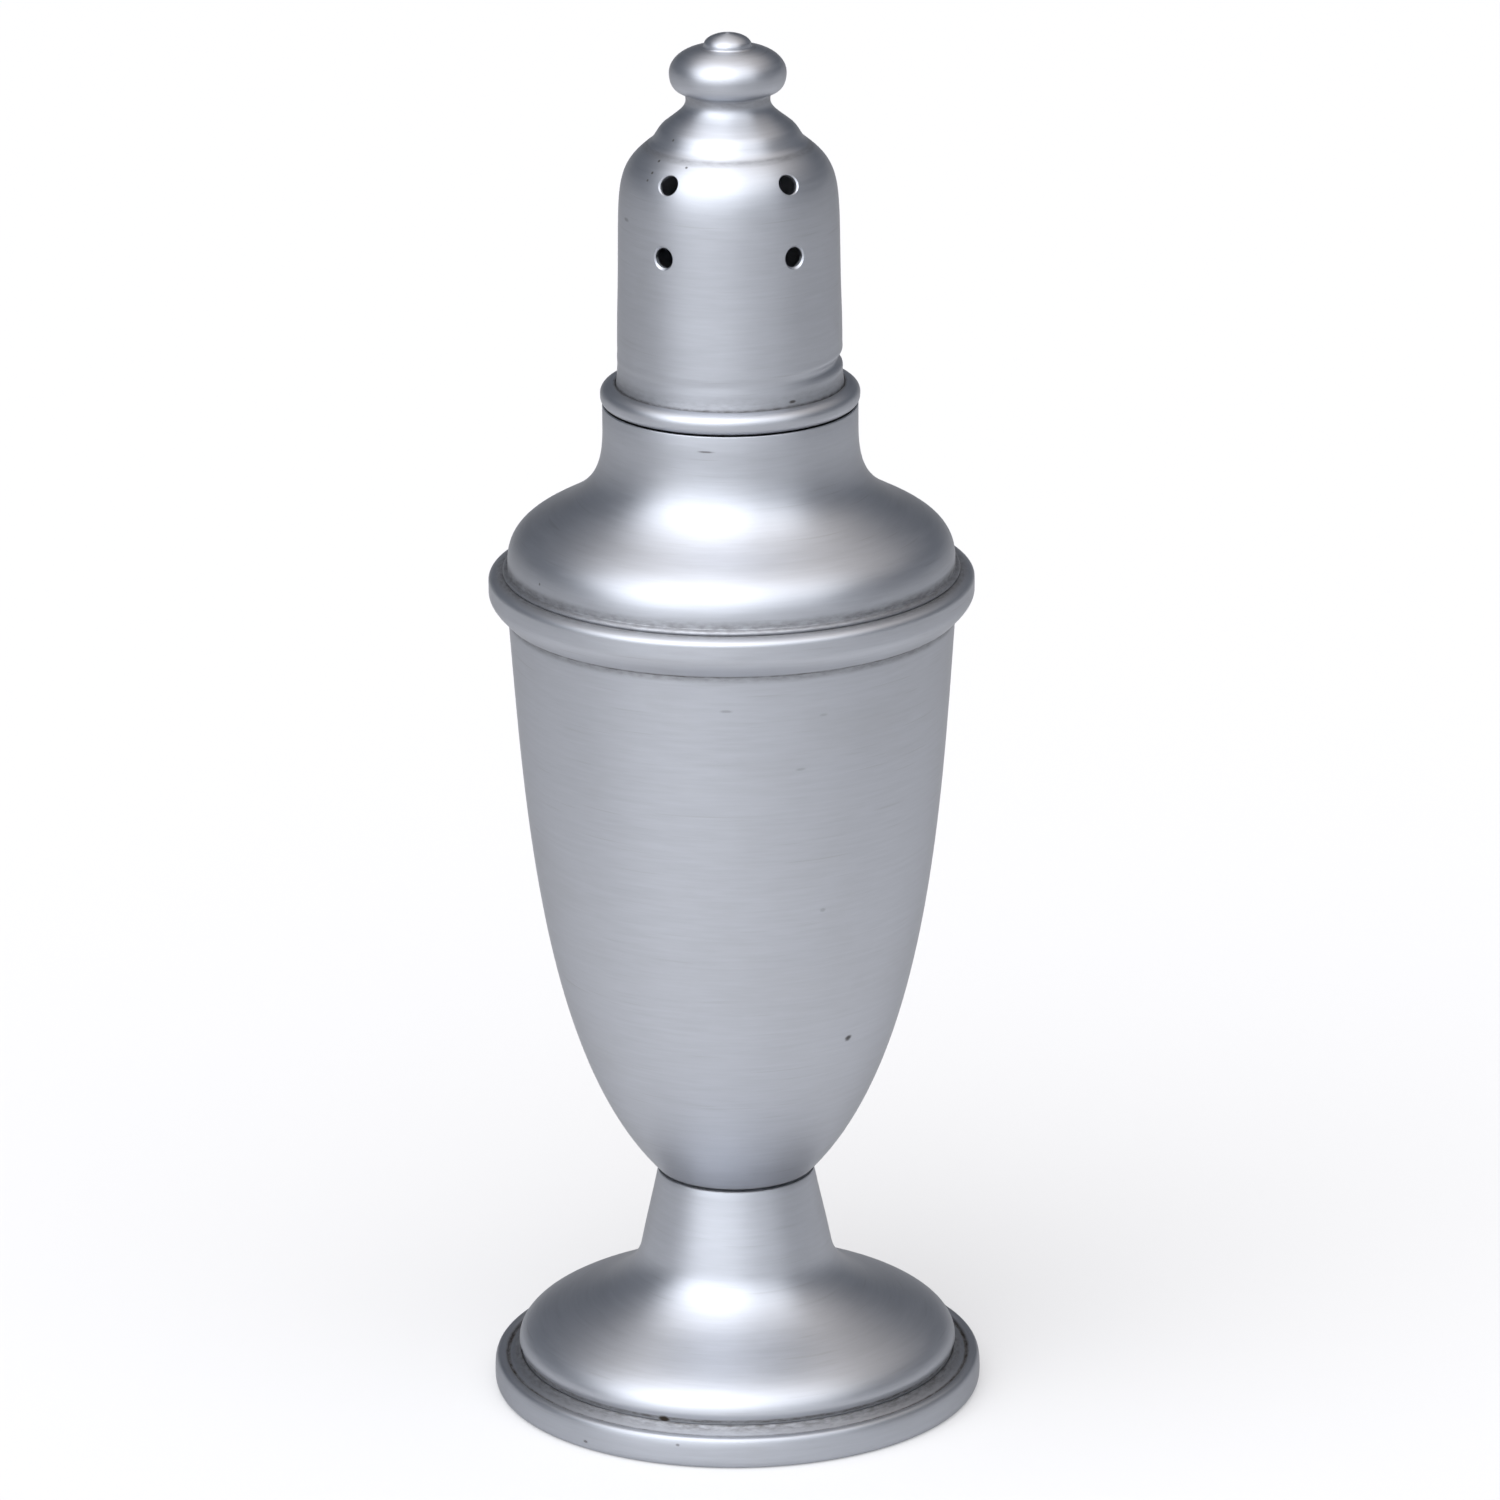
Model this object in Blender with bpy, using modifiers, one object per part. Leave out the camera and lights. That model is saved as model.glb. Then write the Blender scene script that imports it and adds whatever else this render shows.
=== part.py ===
"""Footed pepper shaker in spun pewter: an urn body on a pedestal, with a pierced dome cap that screws on.

Every sheet piece is turned about +Z from one profile line. The foot rim stands on the table at z = 0.
Sizes are in metres.
"""

import math

import bmesh
import bpy
from mathutils import Matrix

OBJECT_NAME = "pepper_shaker"

# Fits between pieces
SEAT_GAP = 0.0003
SEAL_GAP = 0.0001
THREAD_GAP = 0.0003
THREAD_FLANK_GAP = 0.0002

# Foot rim and the disc that closes the foot
FOOT_RIM_RADIUS = 0.0246
FOOT_RIM_HEIGHT = 0.0032
FOOT_RIM_WALL = 0.0014
FOOT_RIM_BULGE_HEIGHT = 0.0014
FOOT_RIM_EDGE_ROUND = 0.0008
FOOT_RIM_TOP_LAND = 0.0003
FOOT_RIM_FULLNESS = 2.6
FOOT_LEDGE_HEIGHT = 0.0022
FOOT_LEDGE_WIDTH = 0.0032
FOOT_GROOVE_WIDTH = 0.0011
BASE_DISC_THICKNESS = 0.0008
BASE_DISC_RECESS = 0.0006

# Pedestal: stem and domed foot in one sheet
PEDESTAL_HEIGHT = 0.0205
PEDESTAL_SHEET = 0.0009
STEM_TOP_RADIUS = 0.00785
STEM_FOOT_RADIUS = 0.0095
STEM_LENGTH = 0.0086
FOOT_FLARE_RADIUS = 0.0132
FOOT_FLARE_DROP = 0.0040
FOOT_FLARE_SLOPE = math.radians(62)
FOOT_DOME_PULL = 0.0038
FOOT_LIP = 0.0004
FOOT_LIP_HEIGHT = 0.0017

# Bowl
BELLY_RADIUS = 0.0221
BOWL_HEIGHT = 0.0601
BOWL_SHEET = 0.0009
BOWL_SIDE_SLOPE = math.radians(-3)
BOWL_BASE_SLOPE = math.radians(-41)
BOWL_SIDE_PULL = 0.0185
BOWL_BASE_PULL = 0.0172

# Band over the joint of bowl and shoulder
BAND_DEPTH = 0.0016
BAND_HEIGHT = 0.0045
BAND_EDGE_ROUND = 0.0005
BAND_TAPER = 0.0022
BAND_TAPER_SLOPE = math.radians(-42)

# Shoulder and neck in one sheet
SHOULDER_HEIGHT = 0.0187
SHOULDER_SHEET = 0.0008
SHOULDER_SKIRT = 0.0033
SHOULDER_FLANGE = 0.0005
SHOULDER_FLANGE_THICKNESS = 0.0004
SHOULDER_TURN_RADIUS = 0.0169
SHOULDER_TURN_HEIGHT = 0.0088
SHOULDER_TURN_SLOPE = math.radians(56)
SHOULDER_PULL = 0.0024
NECK_PULL = 0.0040
NECK_LEDGE = 0.0015
NECK_STRAIGHT = 0.0019

# Cap: skirt, dome and holes
SKIRT_RADIUS = 0.0110
CAP_SHEET = 0.0008
DOME_HEIGHT = 0.0261
SKIRT_HEIGHT = 0.0091
DOME_CROWN_SLOPE = math.radians(52)
DOME_CROWN_PULL = 0.0045
DOME_SIDE_SLOPE = math.radians(2)
DOME_SIDE_PULL = 0.0125
CROWN_LEDGE = 0.0003
HOLE_RADIUS = 0.0009
HOLE_COLUMNS = 5
UPPER_HOLES_BELOW_CROWN = 0.0021
LOWER_HOLES_BELOW_CROWN = 0.0092

# Bead round the skirt, and the washer under it
BEAD_DEPTH = 0.00147
BEAD_HEIGHT = 0.0021
WASHER_THICKNESS = 0.0003
WASHER_INSET = 0.0003

# Screw thread: a bar rolled into the skirt runs in a groove of the collar
THREAD_LEAD = 0.0020
THREAD_TURNS = 1.5
THREAD_ABOVE_BEAD = 0.0006
THREAD_START_ANGLE = math.radians(18)
THREAD_BAR_TO_LEAD = 0.275
THREAD_RUNOUT_TURNS = 0.15
THREAD_END_SHARE = 0.3
ROLLED_GROOVE_TO_LEAD = 0.4
ROLLED_GROOVE_DEPTH = 0.0004
COLLAR_HEIGHT = 0.0075
COLLAR_WALL = 0.0014
FLANGE_HEIGHT = 0.0025

# Finial
FINIAL_BASE_RADIUS = 0.0076
FINIAL_HEIGHT = 0.0107
FINIAL_NECK_RADIUS = 0.0041
FINIAL_NECK_HEIGHT = 0.0043
FINIAL_FLARE_SLOPE = math.radians(38)
FINIAL_NECK_PULL = 0.0017
FINIAL_FLARE_PULL = 0.0034
KNOB_RADIUS = 0.00565
KNOB_HEIGHT = 0.0068
KNOB_TOP_HEIGHT = 0.0093
KNOB_PULL = 0.0015
BUTTON_RADIUS = 0.0025
BUTTON_CREASE = 0.00025
BUTTON_SIDE = 0.0002
SPIGOT_RADIUS = 0.0025
SPIGOT_LENGTH = 0.0022

# Fineness of the faceted solids
SEGMENTS = 36
THREAD_STEPS_PER_TURN = 36
HOLE_SIDES = 14
WELD_DISTANCE = 0.00001

# Radii that follow from the sizes above
FOOT_GROOVE_OUTER = FOOT_RIM_RADIUS - FOOT_RIM_WALL
FOOT_RADIUS = FOOT_GROOVE_OUTER - FOOT_GROOVE_WIDTH
FOOT_BORE_RADIUS = FOOT_GROOVE_OUTER - FOOT_LEDGE_WIDTH
NECK_RADIUS = SKIRT_RADIUS + NECK_LEDGE
NECK_BORE_RADIUS = NECK_RADIUS - SHOULDER_SHEET
SKIRT_BORE_RADIUS = SKIRT_RADIUS - CAP_SHEET
COLLAR_RADIUS = SKIRT_BORE_RADIUS - THREAD_GAP
CROWN_RADIUS = FINIAL_BASE_RADIUS + CROWN_LEDGE
THREAD_BAR_RADIUS = THREAD_LEAD * THREAD_BAR_TO_LEAD
ROLLED_GROOVE_RADIUS = THREAD_LEAD * ROLLED_GROOVE_TO_LEAD

# Heights above the table that follow from the sizes above
PEDESTAL_Z = FOOT_LEDGE_HEIGHT + SEAT_GAP
BOWL_Z = PEDESTAL_Z + PEDESTAL_HEIGHT + SEAT_GAP
SHOULDER_Z = BOWL_Z + BOWL_HEIGHT + SEAT_GAP
BAND_Z = SHOULDER_Z - SEAT_GAP / 2
NECK_TOP_Z = SHOULDER_Z + SHOULDER_HEIGHT
WASHER_Z = NECK_TOP_Z + SEAL_GAP
CAP_Z = WASHER_Z + WASHER_THICKNESS + SEAL_GAP

# Heights above the cap's lower edge that follow from the sizes above
THREAD_START_HEIGHT = BEAD_HEIGHT + THREAD_ABOVE_BEAD
THREAD_TOP_HEIGHT = THREAD_START_HEIGHT + THREAD_TURNS * THREAD_LEAD
HOLE_ROW_HEIGHTS = (DOME_HEIGHT - LOWER_HOLES_BELOW_CROWN, DOME_HEIGHT - UPPER_HOLES_BELOW_CROWN)


def along(slope, length):
    """A step of this length that goes down and, by the slope from the vertical, outwards."""
    return length * math.sin(slope), -length * math.cos(slope)


def bezier(start, leave, arrive, end, steps):
    """Points on a cubic from start to end; leave and arrive are the (radius, height) steps of its ends."""
    corners = (
        start,
        (start[0] + leave[0], start[1] + leave[1]),
        (end[0] - arrive[0], end[1] - arrive[1]),
        end,
    )
    points = []
    for step in range(steps + 1):
        t = step / steps
        weights = ((1 - t) ** 3, 3 * t * (1 - t) ** 2, 3 * t * t * (1 - t), t**3)
        points.append(tuple(sum(w * c[axis] for w, c in zip(weights, corners)) for axis in (0, 1)))
    return points


def bulge(inner_radius, depth, middle, half_height, steps, fullness=2.0, first=90, last=-90):
    """A rounded edge that stands out from a radius, run downwards; a fullness above 2 flattens its face."""
    points = []
    for step in range(steps + 1):
        angle = math.radians(first + (last - first) * step / steps)
        out = abs(math.cos(angle)) ** (2 / fullness)
        up = math.copysign(abs(math.sin(angle)) ** (2 / fullness), math.sin(angle))
        points.append((inner_radius + depth * out, middle + half_height * up))
    return points


def inner_wall(outer, thickness):
    """The line a sheet's thickness inside an outer line, listed from its lower end to its upper end."""
    wall = []
    for index, (radius, height) in enumerate(outer):
        before = outer[max(index - 1, 0)]
        after = outer[min(index + 1, len(outer) - 1)]
        run, drop = after[0] - before[0], after[1] - before[1]
        length = math.hypot(run, drop)
        wall.append((radius + thickness * drop / length, height - thickness * run / length))
    return wall[::-1]


def at_height(line, height):
    """The radius of a line at a height, and the slope of its outward normal above the horizontal."""
    for upper, lower in zip(line, line[1:]):
        if lower[1] <= height <= upper[1] and lower[1] < upper[1]:
            share = (upper[1] - height) / (upper[1] - lower[1])
            radius = upper[0] + share * (lower[0] - upper[0])
            return radius, math.atan2(lower[0] - upper[0], upper[1] - lower[1])
    raise ValueError("the line doesn't reach this height")


def new_collection(name):
    collection = bpy.data.collections.new(name)
    bpy.context.scene.collection.children.link(collection)
    return collection


def finish(name, colour, roughness, metallic):
    material = bpy.data.materials.new(name)
    material.use_nodes = True
    shader = material.node_tree.nodes["Principled BSDF"]
    shader.inputs["Base Color"].default_value = (*colour, 1)
    shader.inputs["Roughness"].default_value = roughness
    shader.inputs["Metallic"].default_value = metallic
    return material


def satin_pewter(piece, shade=0.52, roughness=0.42):
    """Cool grey spun pewter, a little bluish; the shade and roughness differ from piece to piece."""
    return finish(f"{piece} pewter", (shade, shade * 1.03, shade * 1.09), roughness, 1.0)


def empty_at(name, height, parent=None):
    empty = bpy.data.objects.new(name, None)
    empty.empty_display_size = SKIRT_RADIUS
    empty.location.z = height
    empty.parent = parent
    parts.objects.link(empty)
    return empty


def turned(name, profile, material, height, parent):
    """A solid turned about +Z from (radius, height) points that run down its outer side."""
    mesh = bpy.data.meshes.new(name)
    edges = [(i, i + 1) for i in range(len(profile) - 1)]
    if profile[0][0] > 0:
        edges.append((len(profile) - 1, 0))
    mesh.from_pydata([(radius, 0, z) for radius, z in profile], edges, [])
    mesh.materials.append(material)
    piece = bpy.data.objects.new(name, mesh)
    piece.location.z = height
    piece.parent = parent
    parts.objects.link(piece)
    screw = piece.modifiers.new("Turn", "SCREW")
    screw.axis = "Z"
    screw.angle = math.tau
    screw.steps = screw.render_steps = SEGMENTS
    screw.use_merge_vertices = True
    screw.merge_threshold = WELD_DISTANCE
    screw.use_smooth_shade = True
    return piece


def helper(name, mesh, parent):
    """A shape that only cuts or joins, so it isn't part of the object."""
    obj = bpy.data.objects.new(name, mesh)
    obj.parent = parent
    obj.hide_render = True
    obj.display_type = "WIRE"
    cutters.objects.link(obj)
    return obj


def combine(piece, other, operation):
    boolean = piece.modifiers.new(other.name, "BOOLEAN")
    boolean.operation = operation
    boolean.solver = "EXACT"
    boolean.object = other


def thread_angle(height):
    """The angle at which the thread's centre line passes a height above the cap's lower edge."""
    return THREAD_START_ANGLE + (height - THREAD_START_HEIGHT) / THREAD_LEAD * math.tau


def thread_bar(name, radius, bar_radius, low, high, runout, parent):
    """A round bar along the right-hand thread, between two heights, thinned over runout turns at its ends."""
    turns = (high - low) / THREAD_LEAD
    steps = math.ceil(turns * THREAD_STEPS_PER_TURN)
    curve = bpy.data.curves.new(name, "CURVE")
    curve.dimensions = "3D"
    curve.bevel_depth = bar_radius
    curve.bevel_resolution = 2
    curve.use_fill_caps = True
    spline = curve.splines.new("POLY")
    spline.points.add(steps)
    for step, point in enumerate(spline.points):
        height = low + (high - low) * step / steps
        angle = thread_angle(height)
        point.co = (radius * math.cos(angle), radius * math.sin(angle), height, 1)
        turns_to_end = min(step, steps - step) / steps * turns
        if turns_to_end < runout:
            point.radius = THREAD_END_SHARE + (1 - THREAD_END_SHARE) * turns_to_end / runout
    guide = bpy.data.objects.new(name + "_guide", curve)
    cutters.objects.link(guide)
    bpy.context.view_layer.update()
    graph = bpy.context.evaluated_depsgraph_get()
    mesh = bpy.data.meshes.new_from_object(guide.evaluated_get(graph))
    bpy.data.objects.remove(guide)
    shape = bmesh.new()
    shape.from_mesh(mesh)
    bmesh.ops.remove_doubles(shape, verts=shape.verts, dist=WELD_DISTANCE)
    bmesh.ops.recalc_face_normals(shape, faces=shape.faces)
    shape.to_mesh(mesh)
    shape.free()
    return helper(name, mesh, parent)


def foot_rim(parent):
    round_from = FOOT_GROOVE_OUTER + FOOT_RIM_TOP_LAND
    upper = bulge(
        round_from,
        FOOT_RIM_RADIUS - round_from,
        FOOT_RIM_BULGE_HEIGHT,
        FOOT_RIM_HEIGHT - FOOT_RIM_BULGE_HEIGHT,
        steps=5,
        fullness=FOOT_RIM_FULLNESS,
        last=0,
    )
    lower = bulge(
        FOOT_RIM_RADIUS - FOOT_RIM_EDGE_ROUND,
        FOOT_RIM_EDGE_ROUND,
        FOOT_RIM_BULGE_HEIGHT,
        FOOT_RIM_BULGE_HEIGHT,
        steps=4,
        fullness=FOOT_RIM_FULLNESS,
        first=0,
    )
    seat = [
        (FOOT_BORE_RADIUS, 0),
        (FOOT_BORE_RADIUS, FOOT_LEDGE_HEIGHT),
        (FOOT_GROOVE_OUTER, FOOT_LEDGE_HEIGHT),
        (FOOT_GROOVE_OUTER, FOOT_RIM_HEIGHT - FOOT_RIM_TOP_LAND),
    ]
    turned("foot_rim", upper + lower[1:] + seat, satin_pewter("foot rim"), 0, parent)


def base_disc(parent):
    radius = FOOT_BORE_RADIUS - SEAT_GAP
    profile = [(0, BASE_DISC_THICKNESS), (radius, BASE_DISC_THICKNESS), (radius, 0), (0, 0)]
    turned("base_disc", profile, satin_pewter("base disc", shade=0.42), BASE_DISC_RECESS, parent)


def pedestal(parent):
    stem_foot = (STEM_FOOT_RADIUS, PEDESTAL_HEIGHT - STEM_LENGTH)
    flare = (FOOT_FLARE_RADIUS, stem_foot[1] - FOOT_FLARE_DROP)
    edge = (FOOT_RADIUS, FOOT_LIP_HEIGHT + FOOT_LIP)
    stem_slope = math.atan2(STEM_FOOT_RADIUS - STEM_TOP_RADIUS, STEM_LENGTH)
    pull = FOOT_FLARE_DROP / 2
    edge_pull = (flare[1] - edge[1]) / 2
    side = [(STEM_TOP_RADIUS, PEDESTAL_HEIGHT)]
    side += bezier(stem_foot, along(stem_slope, pull), along(FOOT_FLARE_SLOPE, pull), flare, steps=4)
    side += bezier(flare, along(FOOT_FLARE_SLOPE, FOOT_DOME_PULL), along(0, edge_pull), edge, steps=6)[1:]
    lip = [(FOOT_RADIUS - FOOT_LIP, FOOT_LIP_HEIGHT), (FOOT_RADIUS - FOOT_LIP, 0)]
    ceiling = PEDESTAL_HEIGHT - PEDESTAL_SHEET
    inside = [point for point in inner_wall(side, PEDESTAL_SHEET) if point[1] < ceiling]
    profile = [(0, PEDESTAL_HEIGHT)] + side + lip
    profile += [(FOOT_RADIUS - FOOT_LIP - PEDESTAL_SHEET, 0)] + inside
    profile += [(STEM_TOP_RADIUS - PEDESTAL_SHEET, ceiling), (0, ceiling)]
    turned("pedestal", profile, satin_pewter("pedestal"), PEDESTAL_Z, parent)


def bowl(parent):
    rim_height = BOWL_HEIGHT - BAND_HEIGHT / 2
    side = [(BELLY_RADIUS, BOWL_HEIGHT)]
    side += bezier(
        (BELLY_RADIUS, rim_height),
        along(BOWL_SIDE_SLOPE, BOWL_SIDE_PULL),
        along(BOWL_BASE_SLOPE, BOWL_BASE_PULL),
        (STEM_TOP_RADIUS, 0),
        steps=10,
    )
    inside = [point for point in inner_wall(side, BOWL_SHEET) if point[1] > BOWL_SHEET]
    floor_edge = (inside[0][0] - (inside[0][1] - BOWL_SHEET) * math.tan(-BOWL_BASE_SLOPE), BOWL_SHEET)
    profile = [(0, BOWL_SHEET), floor_edge] + inside + side + [(0, 0)]
    turned("bowl", profile, satin_pewter("bowl"), BOWL_Z, parent)


def belly_band(parent):
    """A ring with a flat top, an upright face and an underside that tapers in to the bowl."""
    inner = BELLY_RADIUS + SEAT_GAP
    outer = inner + BAND_DEPTH
    top = BAND_HEIGHT / 2
    edge = bulge(
        outer - BAND_EDGE_ROUND,
        BAND_EDGE_ROUND,
        top - BAND_EDGE_ROUND,
        BAND_EDGE_ROUND,
        steps=4,
        last=0,
    )
    pull = BAND_TAPER / 3
    taper = bezier(
        (outer, BAND_TAPER - top),
        along(0, pull),
        along(BAND_TAPER_SLOPE, pull),
        (inner, -top),
        steps=5,
    )
    turned("belly_band", [(inner, top)] + edge + taper, satin_pewter("belly band"), BAND_Z, parent)


def shoulder(parent):
    """A spun shoulder with a straight neck, and a thin flange that lies on top of the band."""
    turn = (SHOULDER_TURN_RADIUS, SHOULDER_TURN_HEIGHT)
    neck_foot = (NECK_RADIUS, SHOULDER_HEIGHT - NECK_STRAIGHT)
    skirt = (BELLY_RADIUS, SHOULDER_SKIRT)
    side = [(NECK_RADIUS, SHOULDER_HEIGHT)]
    side += bezier(neck_foot, along(0, NECK_PULL), along(SHOULDER_TURN_SLOPE, NECK_PULL), turn, steps=5)
    slope = along(SHOULDER_TURN_SLOPE, SHOULDER_PULL)
    side += bezier(turn, slope, along(0, SHOULDER_PULL), skirt, steps=5)[1:]
    foot = [(BELLY_RADIUS, 0)]
    flange_foot = BAND_Z + BAND_HEIGHT / 2 + SEAT_GAP - SHOULDER_Z
    flange_top = flange_foot + SHOULDER_FLANGE_THICKNESS
    flange_edge = BELLY_RADIUS + SHOULDER_FLANGE
    flange = [
        (BELLY_RADIUS, flange_top),
        (flange_edge, flange_top),
        (flange_edge, flange_foot),
        (BELLY_RADIUS, flange_foot),
    ]
    profile = side + flange + foot + inner_wall(side + foot, SHOULDER_SHEET)
    turned("shoulder", profile, satin_pewter("shoulder"), SHOULDER_Z, parent)


def threaded_collar(parent):
    bore = COLLAR_RADIUS - COLLAR_WALL
    flange = NECK_BORE_RADIUS - SEAT_GAP
    profile = [
        (COLLAR_RADIUS, COLLAR_HEIGHT),
        (COLLAR_RADIUS, 0),
        (flange, 0),
        (flange, -FLANGE_HEIGHT),
        (bore, -FLANGE_HEIGHT),
        (bore, COLLAR_HEIGHT),
    ]
    collar = turned("threaded_collar", profile, satin_pewter("collar", shade=0.48), NECK_TOP_Z, parent)
    collar_top = COLLAR_HEIGHT + NECK_TOP_Z - CAP_Z
    groove = thread_bar(
        "collar_groove",
        SKIRT_BORE_RADIUS,
        THREAD_BAR_RADIUS + THREAD_FLANK_GAP,
        THREAD_START_HEIGHT - 2 * THREAD_FLANK_GAP,
        collar_top + THREAD_LEAD,
        0,
        cap_axis,
    )
    combine(collar, groove, "DIFFERENCE")


def sealing_washer(parent):
    inner = COLLAR_RADIUS + SEAT_GAP
    outer = NECK_RADIUS - WASHER_INSET
    profile = [(outer, WASHER_THICKNESS), (outer, 0), (inner, 0), (inner, WASHER_THICKNESS)]
    black_rubber = finish("washer rubber", (0.012, 0.012, 0.013), 0.7, 0.0)
    turned("sealing_washer", profile, black_rubber, WASHER_Z, parent)


def cap_bead(parent):
    inner = SKIRT_RADIUS + SEAT_GAP
    profile = bulge(inner, BEAD_DEPTH, BEAD_HEIGHT / 2, BEAD_HEIGHT / 2, steps=8)
    turned("cap_bead", profile, satin_pewter("cap bead", shade=0.56), 0, parent)


def pepper_holes(outline, parent):
    """One cutter with a round bar square to the dome at each hole, in columns either side of the front."""
    mesh = bpy.data.meshes.new("pepper_holes")
    shape = bmesh.new()
    column_angle = math.tau / HOLE_COLUMNS
    for height in HOLE_ROW_HEIGHTS:
        radius, rise = at_height(outline, height)
        for column in range(HOLE_COLUMNS):
            turn = -math.pi / 2 + column_angle * (column + 0.5)
            place = Matrix.Rotation(turn, 4, "Z") @ Matrix.Translation((radius, 0, height))
            bmesh.ops.create_cone(
                shape,
                cap_ends=True,
                segments=HOLE_SIDES,
                radius1=HOLE_RADIUS,
                radius2=HOLE_RADIUS,
                depth=4 * CAP_SHEET,
                matrix=place @ Matrix.Rotation(math.pi / 2 - rise, 4, "Y"),
            )
    shape.to_mesh(mesh)
    shape.free()
    return helper("pepper_holes", mesh, parent)


def dome_cover(parent):
    outline = bezier(
        (CROWN_RADIUS, DOME_HEIGHT),
        along(DOME_CROWN_SLOPE, DOME_CROWN_PULL),
        along(DOME_SIDE_SLOPE, DOME_SIDE_PULL),
        (SKIRT_RADIUS, SKIRT_HEIGHT),
        steps=9,
    )
    outline.append((SKIRT_RADIUS, 0))
    crown_bore = SPIGOT_RADIUS + SEAT_GAP
    inside = inner_wall(outline, CAP_SHEET)[:-1]
    ceiling = DOME_HEIGHT - CAP_SHEET
    profile = [(crown_bore, DOME_HEIGHT)] + outline + inside
    profile += [(CROWN_RADIUS - CAP_SHEET, ceiling), (crown_bore, ceiling)]
    cover = turned("dome_cover", profile, satin_pewter("dome cover"), 0, parent)
    bar = thread_bar(
        "rolled_thread",
        SKIRT_BORE_RADIUS,
        THREAD_BAR_RADIUS,
        THREAD_START_HEIGHT,
        THREAD_TOP_HEIGHT,
        THREAD_RUNOUT_TURNS,
        parent,
    )
    groove = thread_bar(
        "rolled_groove",
        SKIRT_RADIUS + ROLLED_GROOVE_RADIUS - ROLLED_GROOVE_DEPTH,
        ROLLED_GROOVE_RADIUS,
        THREAD_START_HEIGHT,
        THREAD_TOP_HEIGHT,
        THREAD_RUNOUT_TURNS,
        parent,
    )
    combine(cover, bar, "UNION")
    combine(cover, groove, "DIFFERENCE")
    combine(cover, pepper_holes(outline, parent), "DIFFERENCE")


def finial(parent):
    neck = (FINIAL_NECK_RADIUS, FINIAL_NECK_HEIGHT)
    knob = (KNOB_RADIUS, KNOB_HEIGHT)
    crease_radius = BUTTON_RADIUS + BUTTON_CREASE
    button_foot = KNOB_TOP_HEIGHT + BUTTON_SIDE
    profile = bulge(0, BUTTON_RADIUS, button_foot, FINIAL_HEIGHT - button_foot, steps=4, last=0)
    profile[0] = (0, FINIAL_HEIGHT)
    profile += bulge(
        crease_radius,
        KNOB_RADIUS - crease_radius,
        KNOB_HEIGHT,
        KNOB_TOP_HEIGHT - KNOB_HEIGHT,
        steps=5,
        last=0,
    )
    profile += bezier(knob, along(0, KNOB_PULL), along(0, KNOB_PULL), neck, steps=5)[1:]
    profile += bezier(
        neck,
        along(0, FINIAL_NECK_PULL),
        along(FINIAL_FLARE_SLOPE, FINIAL_FLARE_PULL),
        (FINIAL_BASE_RADIUS, 0),
        steps=6,
    )[1:]
    profile += [(SPIGOT_RADIUS, 0), (SPIGOT_RADIUS, -SPIGOT_LENGTH), (0, -SPIGOT_LENGTH)]
    turned("finial", profile, satin_pewter("finial", shade=0.55), DOME_HEIGHT + SEAT_GAP, parent)


for old in list(bpy.data.objects):
    bpy.data.objects.remove(old)

parts = new_collection(OBJECT_NAME)
cutters = new_collection("cutters")
cutters.hide_render = True

shaker = empty_at("shaker", 0)
cap_axis = empty_at("cap_axis", CAP_Z, shaker)

foot_rim(shaker)
base_disc(shaker)
pedestal(shaker)
bowl(shaker)
belly_band(shaker)
shoulder(shaker)
threaded_collar(shaker)
sealing_washer(shaker)
cap_bead(cap_axis)
dome_cover(cap_axis)
finial(cap_axis)
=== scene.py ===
"""Looks of the footed pepper shaker: each piece is turned again with finer lines, and gets its pewter.

Lengths are in millimetres where a name says so or where a profile is drawn, and MM turns them to metres.
Heights are above the table, radii are from the turning axis, and -90 degrees is the front.
"""

import math

import bpy
from mathutils import Matrix, Vector


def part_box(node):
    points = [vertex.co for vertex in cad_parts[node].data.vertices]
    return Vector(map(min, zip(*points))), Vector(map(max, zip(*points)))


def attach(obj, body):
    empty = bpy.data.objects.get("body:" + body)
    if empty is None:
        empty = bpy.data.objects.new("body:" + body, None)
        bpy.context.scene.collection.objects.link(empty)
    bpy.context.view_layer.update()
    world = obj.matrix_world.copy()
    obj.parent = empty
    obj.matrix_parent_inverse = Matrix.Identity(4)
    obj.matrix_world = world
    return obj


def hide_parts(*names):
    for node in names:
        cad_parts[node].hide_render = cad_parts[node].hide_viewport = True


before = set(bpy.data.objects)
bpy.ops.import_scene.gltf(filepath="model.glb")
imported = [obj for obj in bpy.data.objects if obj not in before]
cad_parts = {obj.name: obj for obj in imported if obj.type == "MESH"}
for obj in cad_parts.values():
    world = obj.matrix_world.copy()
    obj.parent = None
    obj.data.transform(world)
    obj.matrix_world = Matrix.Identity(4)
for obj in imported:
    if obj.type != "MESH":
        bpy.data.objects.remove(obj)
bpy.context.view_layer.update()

MM = 0.001

# A turned piece's facets round its circle, the metres within which two points become one, and the fold that
# counts as an edge
ROUND_STEPS = 192
WELD = 1e-6
SHARP = math.radians(32)

# Places that several pieces share
STEM_TOP_RADIUS = 7.85
SKIRT_RADIUS = 11.0
CROWN_RADIUS = 8.0
CAP_SHEET = 0.5
THREAD_LEAD = 2.0
THREAD_START_ANGLE = math.radians(18)
THREAD_START_ABOVE_SEAT = 2.9


def linear(hex_colour):
    """An sRGB hex colour as the linear values that a shader socket takes."""
    channels = [int(hex_colour[i : i + 2], 16) / 255 for i in (1, 3, 5)]
    return [c / 12.92 if c <= 0.04045 else ((c + 0.055) / 1.055) ** 2.4 for c in channels] + [1]


def reach(node):
    """A CAD node's largest radius, and its lowest and highest height, in millimetres."""
    low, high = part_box(node)
    return high.x / MM, low.z / MM, high.z / MM


# Profile lines: points of (radius, height) that run down the outside of a piece


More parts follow.
